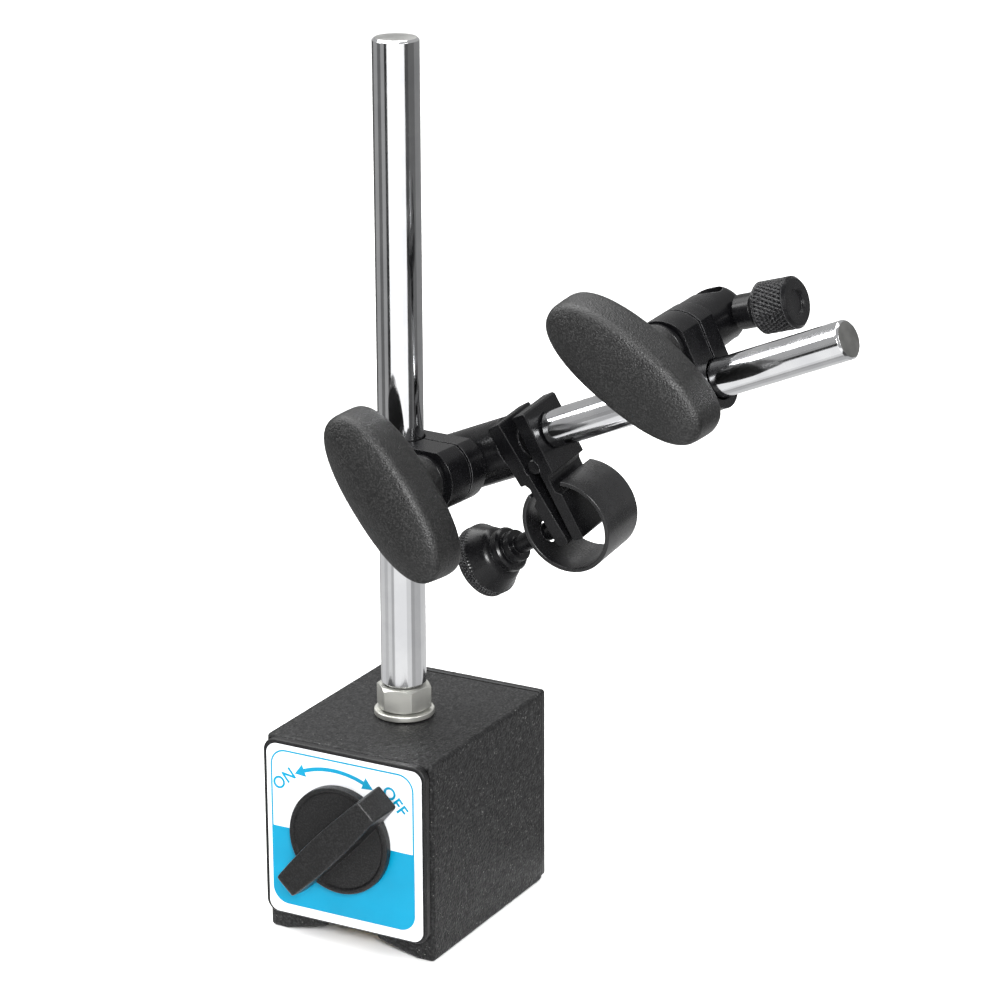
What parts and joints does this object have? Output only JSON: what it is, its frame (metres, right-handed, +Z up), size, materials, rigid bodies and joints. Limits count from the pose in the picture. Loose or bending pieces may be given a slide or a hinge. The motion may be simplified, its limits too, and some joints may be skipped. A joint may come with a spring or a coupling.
{
  "type": "magnetic base stand",
  "caption": "Switchable magnetic base with a column, a fine-adjust arm and two swivelling split clamps that hold the stem of a dial gauge.",
  "frame": {"origin": "centre of the bounding box in plan, on the surface that the base stands on", "axes": "+Z up along the column, +X towards the arm side, -Y towards the front with the switch knob"},
  "size_m": [0.149, 0.0762, 0.2358],
  "materials": {
    "crinkle_paint": "black crinkle paint over ground iron, fine and matt",
    "brass": "machined",
    "ferrite": "matt sintered",
    "steel": "plain machined steel",
    "black_plastic": "moulded, fine texture",
    "wing_plastic": "moulded, spark-eroded texture",
    "label": "printed blue and white film",
    "chrome": "polished chrome plate",
    "zinc": "bright zinc plate",
    "black_oxide": "satin black oxide with bright edges",
    "spring_steel": "satin black oxide on rolled band"
  },
  "bodies": {
    "base": {"pole_left": "crinkle_paint", "pole_right": "crinkle_paint", "spacer_top": "brass", "spacer_bottom": "brass", "front_cover": "black_plastic", "label_plate": "label", "rear_cover": "black_plastic", "front_cover_screw_1": "steel", "front_cover_screw_2": "steel", "rear_cover_screw_1": "steel", "rear_cover_screw_2": "steel", "rear_cover_screw_3": "steel", "rear_cover_screw_4": "steel", "column_washer": "zinc", "column_nut": "zinc"},
    "switch": {"magnet_rotor": "ferrite", "rotor_shaft": "steel", "switch_knob": "black_plastic"},
    "column": {"column": "chrome"},
    "lower_clamp": {"lower_clamp": "black_oxide", "lower_washer": "black_oxide"},
    "arm_base": {"swivel_head": "black_oxide", "lower_stud": "steel", "left_lever": "black_oxide", "pivot_pin": "steel", "spring_ring": "spring_steel"},
    "lower_knob": {"lower_wing_knob": "wing_plastic", "lower_knob_insert": "brass"},
    "fine_screw": {"fine_screw": "black_oxide"},
    "fine_lever": {"right_lever": "black_oxide"},
    "arm_rod": {"arm_rod": "chrome"},
    "upper_clamp": {"upper_clamp": "black_oxide", "upper_washer": "black_oxide"},
    "stem_head": {"stem_head": "black_oxide", "upper_stud": "steel"},
    "upper_knob": {"upper_wing_knob": "wing_plastic", "upper_knob_insert": "brass"},
    "stem_screw": {"stem_screw": "black_oxide"}
  },
  "joints": [
    {"name": "switch_turn", "type": "hinge", "parent": "base", "child": "switch", "pos_m": [-0.04948, 0.00456, 0.0316], "axis": [0, -1, 0], "range_deg": [0, 90]},
    {"name": "column_turn", "type": "hinge", "parent": "base", "child": "column", "pos_m": [-0.04948, 0.00356, 0], "axis": [0, 0, 1], "continuous": true},
    {"name": "lower_clamp_slide", "type": "slide", "parent": "column", "child": "lower_clamp", "axis": [0, 0, 1], "range_m": [-0.015, 0.09]},
    {"name": "arm_tilt", "type": "hinge", "parent": "lower_clamp", "child": "arm_base", "pos_m": [-0.03702, 0.00247, 0.124], "axis": [-0.0872, -0.9962, 0], "range_deg": [-30, 20]},
    {"name": "lower_knob_turn", "type": "hinge", "parent": "arm_base", "child": "lower_knob", "pos_m": [-0.03702, 0.00247, 0.124], "axis": [-0.0872, -0.9962, 0], "range_deg": [-30, 360]},
    {"name": "fine_screw_turn", "type": "hinge", "parent": "arm_base", "child": "fine_screw", "pos_m": [-0.00483, 0.01892, 0.11273], "axis": [0.8519, -0.0937, 0.5153], "range_deg": [-340, 340]},
    {"name": "fine_tilt", "type": "hinge", "parent": "arm_base", "child": "fine_lever", "pos_m": [-0.01398, 0.01724, 0.12755], "axis": [-0.0298, -0.9909, -0.1309], "range_deg": [-2.6, 2.6]},
    {"name": "arm_rod_turn", "type": "hinge", "parent": "fine_lever", "child": "arm_rod", "pos_m": [-0.01666, 0.01653, 0.13359], "axis": [0.9143, -0.08, 0.3971], "continuous": true},
    {"name": "upper_clamp_slide", "type": "slide", "parent": "arm_rod", "child": "upper_clamp", "axis": [0.9143, -0.08, 0.3971], "range_m": [-0.01, 0.03]},
    {"name": "stem_head_turn", "type": "hinge", "parent": "upper_clamp", "child": "stem_head", "pos_m": [0.02501, 0.01182, 0.16487], "axis": [-0.0523, -0.9954, -0.08], "continuous": true},
    {"name": "upper_knob_turn", "type": "hinge", "parent": "stem_head", "child": "upper_knob", "pos_m": [0.02501, 0.01182, 0.16487], "axis": [-0.0523, -0.9954, -0.08], "range_deg": [-30, 360]},
    {"name": "stem_screw_turn", "type": "hinge", "parent": "stem_head", "child": "stem_screw", "pos_m": [0.02606, 0.03183, 0.16648], "axis": [0.9523, -0.0739, 0.2961], "range_deg": [-30, 360]}
  ],
  "couplings": [
    {"joint": "fine_tilt", "follows": "fine_screw_turn", "ratio": 0.007276}
  ]
}
